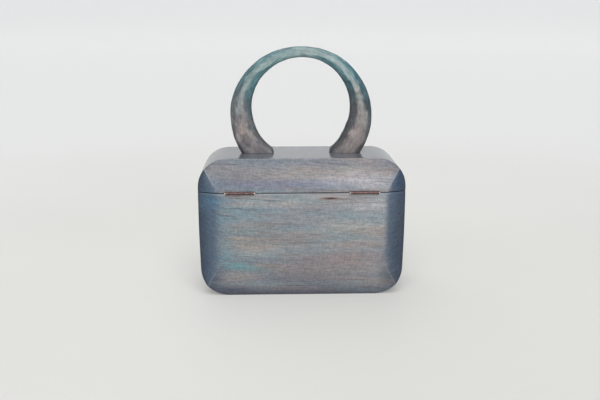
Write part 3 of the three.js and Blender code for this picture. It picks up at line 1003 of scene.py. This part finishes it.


# Dyed handle, with painted shade along its inner and outer edges
def dyed_handle():
    graph = Graph("dyed_handle")
    y = graph.place()[1]
    inside = graph.attribute("inside")
    scoop = graph.attribute("scoop")
    along = graph.math("MULTIPLY", graph.attribute("turn"), HANDLE_ARC)
    arc = (along, graph.math("MULTIPLY", inside, HANDLE_BREADTH), y)
    blotch = graph.noise(arc, (11, 7, 8), detail=3.0, roughness=0.6, seed=2.0)
    patch = graph.noise(arc, (9, 2.8, 3.2), detail=2.0, seed=19.0)
    fleck = graph.noise(arc, (3.4, 1.5, 1.6), detail=3.0, roughness=0.65, seed=7.0)
    fine = graph.noise(arc, (8, 0.9, 0.9), detail=2.0, seed=11.0)
    turn = graph.math("ADD", graph.attribute("turn"), graph.math("MULTIPLY_ADD", blotch, 50.0, -25.0))

    share = graph.math("MULTIPLY_ADD", turn, 0.5 / HANDLE_LAST_TURN, 0.5)
    places = [0.5 + 0.5 * row.turn / HANDLE_LAST_TURN for row in HANDLE_DYES]
    cheek = graph.ramp(share, list(zip(places, (row.cheek for row in HANDLE_DYES))))
    outer = graph.ramp(share, list(zip(places, (row.outer for row in HANDLE_DYES))))
    inner = graph.ramp(share, list(zip(places, (row.inner for row in HANDLE_DYES))))
    bevels = graph.mix(graph.spread(inside, 0.4, 0.6), outer, inner)
    rubbed = graph.math("ADD", graph.attribute("cheek"), graph.math("MULTIPLY_ADD", patch, 0.8, -0.4))
    rubbed = graph.math("ADD", rubbed, graph.math("MULTIPLY", scoop, 0.2))
    colour = graph.mix(graph.spread(rubbed, 0.0, 1.0), bevels, cheek)

    sides = {face: graph.spread(graph.math("MULTIPLY", y, float(face)), -1.0, 3.0) for face in (-1, 1)}
    percent = graph.math("MULTIPLY_ADD", patch, 30.0, graph.math("MULTIPLY_ADD", inside, 100.0, -15.0))
    colour = spotted(graph, colour, HANDLE_SPOTS, turn, percent, sides)
    # Painted shade: dark bands along the inner and the outer edges of the handle
    colour = stain_and_painted_light(graph, colour, graph.spread(inside, 0.86, 1.02), 0.7, (36, 48, 56))
    colour = stain_and_painted_light(graph, colour, graph.spread(inside, 0.07, -0.02), 0.7, (38, 50, 58))
    cuts = graph.math("MULTIPLY_ADD", scoop, 0.15, 1.0)
    cuts = graph.math("MULTIPLY", cuts, graph.spread(fine, 0.25, 0.75, 0.88, 1.12))
    cuts = graph.math("MULTIPLY", cuts, graph.spread(fleck, 0.25, 0.75, 0.8, 1.2))
    cuts = graph.math("MULTIPLY", cuts, graph.spread(patch, 0.3, 0.7, 0.86, 1.14))
    colour = shaded(graph, colour, cuts)
    graph.feed(graph.shader.inputs["Base Color"], colour)
    graph.feed(graph.shader.inputs["Roughness"], graph.spread(fleck, 0.2, 0.8, 0.55, 0.42))
    graph.set(specular_ior_level=0.35)
    graph.bump(graph.math("ADD", fleck, fine), 0.0002, 0.4)
    return graph.material


def metal(name, dark, light, roughness, heads=None):
    """Tarnished metal with small scratches along the barrel. The heads of pins can have another colour."""
    graph = Graph(name)
    place = graph.place()
    tarnish = graph.noise(place, (2.4, 1.2, 1.2), detail=4.0, roughness=0.65, seed=4.0)
    scratch = graph.noise(place, (6, 0.12, 0.12), detail=2.0, seed=8.0)
    colour = graph.ramp(tarnish, ((0.35, dark), (0.65, light)))
    if heads:
        along = graph.math("SUBTRACT", graph.math("ABSOLUTE", place[0]), HINGE_CENTRE / MM)
        ends = graph.spread(graph.math("ABSOLUTE", along), PIN_HALF - 0.2, PIN_HALF)
        colour = graph.mix(ends, colour, linear(heads))
    graph.feed(graph.shader.inputs["Base Color"], colour)
    graph.feed(graph.shader.inputs["Roughness"], graph.spread(scratch, 0.2, 0.8, roughness, roughness + 0.2))
    graph.set(metallic=1.0)
    graph.bump(scratch, 0.00005, 0.3)
    return graph.material


# The share of its light that the paper gives off by itself: painted light, a glow as on a light table, which
# lightens the shadows on it
PAPER_GLOW = 0.28


def floor_paper_painted_light():
    graph = Graph("floor_paper_painted_light")
    place = graph.place()
    tooth = graph.noise(place, (1.5, 1.5, 1.5), detail=2.0, seed=6.0)
    cloud = graph.noise(place, (400, 400, 400), detail=1.0, seed=16.0)
    tone = graph.math("ADD", graph.math("MULTIPLY", tooth, 0.3), graph.math("MULTIPLY", cloud, 0.7))
    colour = graph.ramp(tone, ((0.3, (219, 219, 216)), (0.7, (225, 225, 222))))
    # Painted light: the paper is lighter far from the bag and high on the wall, and a little darker up the
    # foot of the sweep
    away = graph.math("SQRT", graph.math("ADD", *(graph.math("MULTIPLY", axis, axis) for axis in place[:2])))
    colour = graph.mix(graph.spread(away, 250.0, 1300.0), colour, linear((227, 228, 228)))
    colour = graph.mix(graph.spread(place[2], 0.0, 260.0), colour, linear((221, 223, 224)))
    colour = graph.mix(graph.spread(place[2], 350.0, 500.0), colour, linear((234, 236, 236)))
    graph.feed(graph.shader.inputs["Base Color"], shaded(graph, colour, 1 - PAPER_GLOW))
    graph.feed(graph.shader.inputs["Emission Color"], colour)
    graph.feed(graph.shader.inputs["Emission Strength"], PAPER_GLOW)
    graph.feed(graph.shader.inputs["Roughness"], graph.spread(tooth, 0.2, 0.8, 0.75, 0.6))
    return graph.material


def paint(piece, *materials):
    piece.data.materials.clear()
    for material in materials:
        piece.data.materials.append(material)


# Pieces

def add_piece(piece, body_name, slot, *nodes):
    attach(piece, body_name)
    if nodes:
        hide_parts(*nodes)


cutter = recess_cutter()
body = shell("body_shell", BODY_LOW.z, BODY_HIGH.z)
lid = shell("lid_shell", LID_HIGH.z, LID_LOW.z)
for half in (body, lid):
    cut(half, cutter)
    settle(half, 40)
bpy.data.objects.remove(cutter)
wood = dyed_wood()
inside_wood = bare_wood("inside_wood", (150, 120, 88), (186, 156, 120), (206, 180, 146))
for half in (body, lid):
    mark_box(half.data)
    paint(half, wood, inside_wood)
    paint_inside(half.data)
handle = carved_handle()
mark_handle(handle.data)
paint(handle, dyed_handle())
add_piece(body, "base", "dyed_wood", "box_body")
add_piece(lid, "lid", "dyed_wood", "box_lid")
add_piece(handle, "lid", "dyed_handle", "handle")

copper = metal("hinge_copper", (74, 58, 58), (138, 114, 111), 0.4)
pin_brass = metal("pin_brass", (150, 128, 104), (226, 206, 178), 0.3)
pin_bright = metal("pin_bright", (74, 58, 58), (138, 114, 111), 0.4, (246, 242, 234))
dowel_wood = bare_wood("dowel_wood", (118, 90, 62), (148, 118, 86), (170, 142, 108))
for side in ("left", "right"):
    peg = dowel(side)
    paint(peg, dowel_wood)
    add_piece(peg, "lid", "bare_wood", f"handle_peg_{side}")
    for half, body_name in (("body", "base"), ("lid", "lid")):
        screws = hinge_screws(side, half)
        paint(screws, pin_brass)
        add_piece(screws, body_name, "pin_metal")
for name, node in frame["nodes"].items():
    if name.endswith("_leaf") or name == "front_clasp":
        paint(node, copper)
        soften(node, CLASP_EDGE if name == "front_clasp" else LEAF_EDGE)
    if name.endswith("_pin"):
        paint(node, pin_bright)
        swell(node, PIN_GROWTH)


# Stage, light and camera

FLOOR_RADIUS = 5.0
SWEEP_RADIUS = 2.0
SWEEP_TOP = 4.0
SWEEP_STEPS = 10
SWEEP_SIDES = 96


def floor():
    """A round floor whose rim sweeps up into a wall."""
    turns = [math.pi / 2 * step / SWEEP_STEPS for step in range(SWEEP_STEPS + 1)]
    profile = [(FLOOR_RADIUS + SWEEP_RADIUS * math.sin(t), SWEEP_RADIUS * (1 - math.cos(t))) for t in turns]
    profile.append((FLOOR_RADIUS + SWEEP_RADIUS, SWEEP_TOP))
    rounds = [2 * math.pi * step / SWEEP_SIDES for step in range(SWEEP_SIDES)]
    bm = bmesh.new()
    rings = [[bm.verts.new((r * math.cos(t), r * math.sin(t), z)) for t in rounds] for r, z in profile]
    bm.faces.new(rings[0])
    for lower, upper in zip(rings, rings[1:]):
        for index in range(SWEEP_SIDES):
            after = (index + 1) % SWEEP_SIDES
            bm.faces.new((lower[index], upper[index], upper[after], lower[after]))
    bmesh.ops.recalc_face_normals(bm, faces=bm.faces)
    ground = new_object("floor", mesh_from(bm, "floor"))
    ground.data.shade_smooth()
    paint(ground, floor_paper_painted_light())


def sun_light(name, place, target, softness, strength, colour):
    data = bpy.data.lights.new(name, "SUN")
    data.angle = math.radians(softness)
    data.energy = strength
    data.color = colour
    aim(name, data, place, target)


def area_light(name, place, target, size, power, colour):
    data = bpy.data.lights.new(name, "AREA")
    data.shape = "RECTANGLE"
    data.size, data.size_y = size
    data.energy = power
    data.color = colour
    aim(name, data, place, target)


def aim(name, data, place, target):
    light = bpy.data.objects.new(name, data)
    light.location = place
    light.rotation_euler = (Vector(target) - Vector(place)).to_track_quat("-Z", "Y").to_euler()
    bpy.context.scene.collection.objects.link(light)


# Camera, with its angles in degrees: how far it looks down and how far it is turned
CAMERA_PLACE = (-0.0287, -0.8608, 0.2918)
CAMERA_DIP = 13.07
CAMERA_TURN = -1.85
CAMERA_LENS = 50
CAMERA_SENSOR = 36


def camera():
    data = bpy.data.cameras.new("camera")
    data.lens = CAMERA_LENS
    data.sensor_width = CAMERA_SENSOR
    eye = bpy.data.objects.new("camera", data)
    eye.location = CAMERA_PLACE
    eye.rotation_euler = (math.radians(90 - CAMERA_DIP), 0, math.radians(CAMERA_TURN))
    bpy.context.scene.collection.objects.link(eye)
    bpy.context.scene.camera = eye


def world():
    made = bpy.data.worlds.new("studio")
    made.use_nodes = True
    background = made.node_tree.nodes["Background"]
    background.inputs["Color"].default_value = (0.80, 0.82, 0.83, 1)
    background.inputs["Strength"].default_value = 0.27
    bpy.context.scene.world = made


floor()
world()
sun_light("key", (0.05, -1.0, 1.4), (0, 0, 0), 45, 1.93, (1, 0.985, 0.975))
sun_light("back", (-0.3, 0.9, 1.3), (0, 0, 0), 60, 0.66, (1, 0.985, 0.975))
area_light("fill", (-0.3, -2.0, 0.9), (0, 0, 0.05), (2.4, 1.2), 5.7, (1, 0.96, 0.93))
camera()
bpy.context.scene.view_settings.view_transform = "Standard"
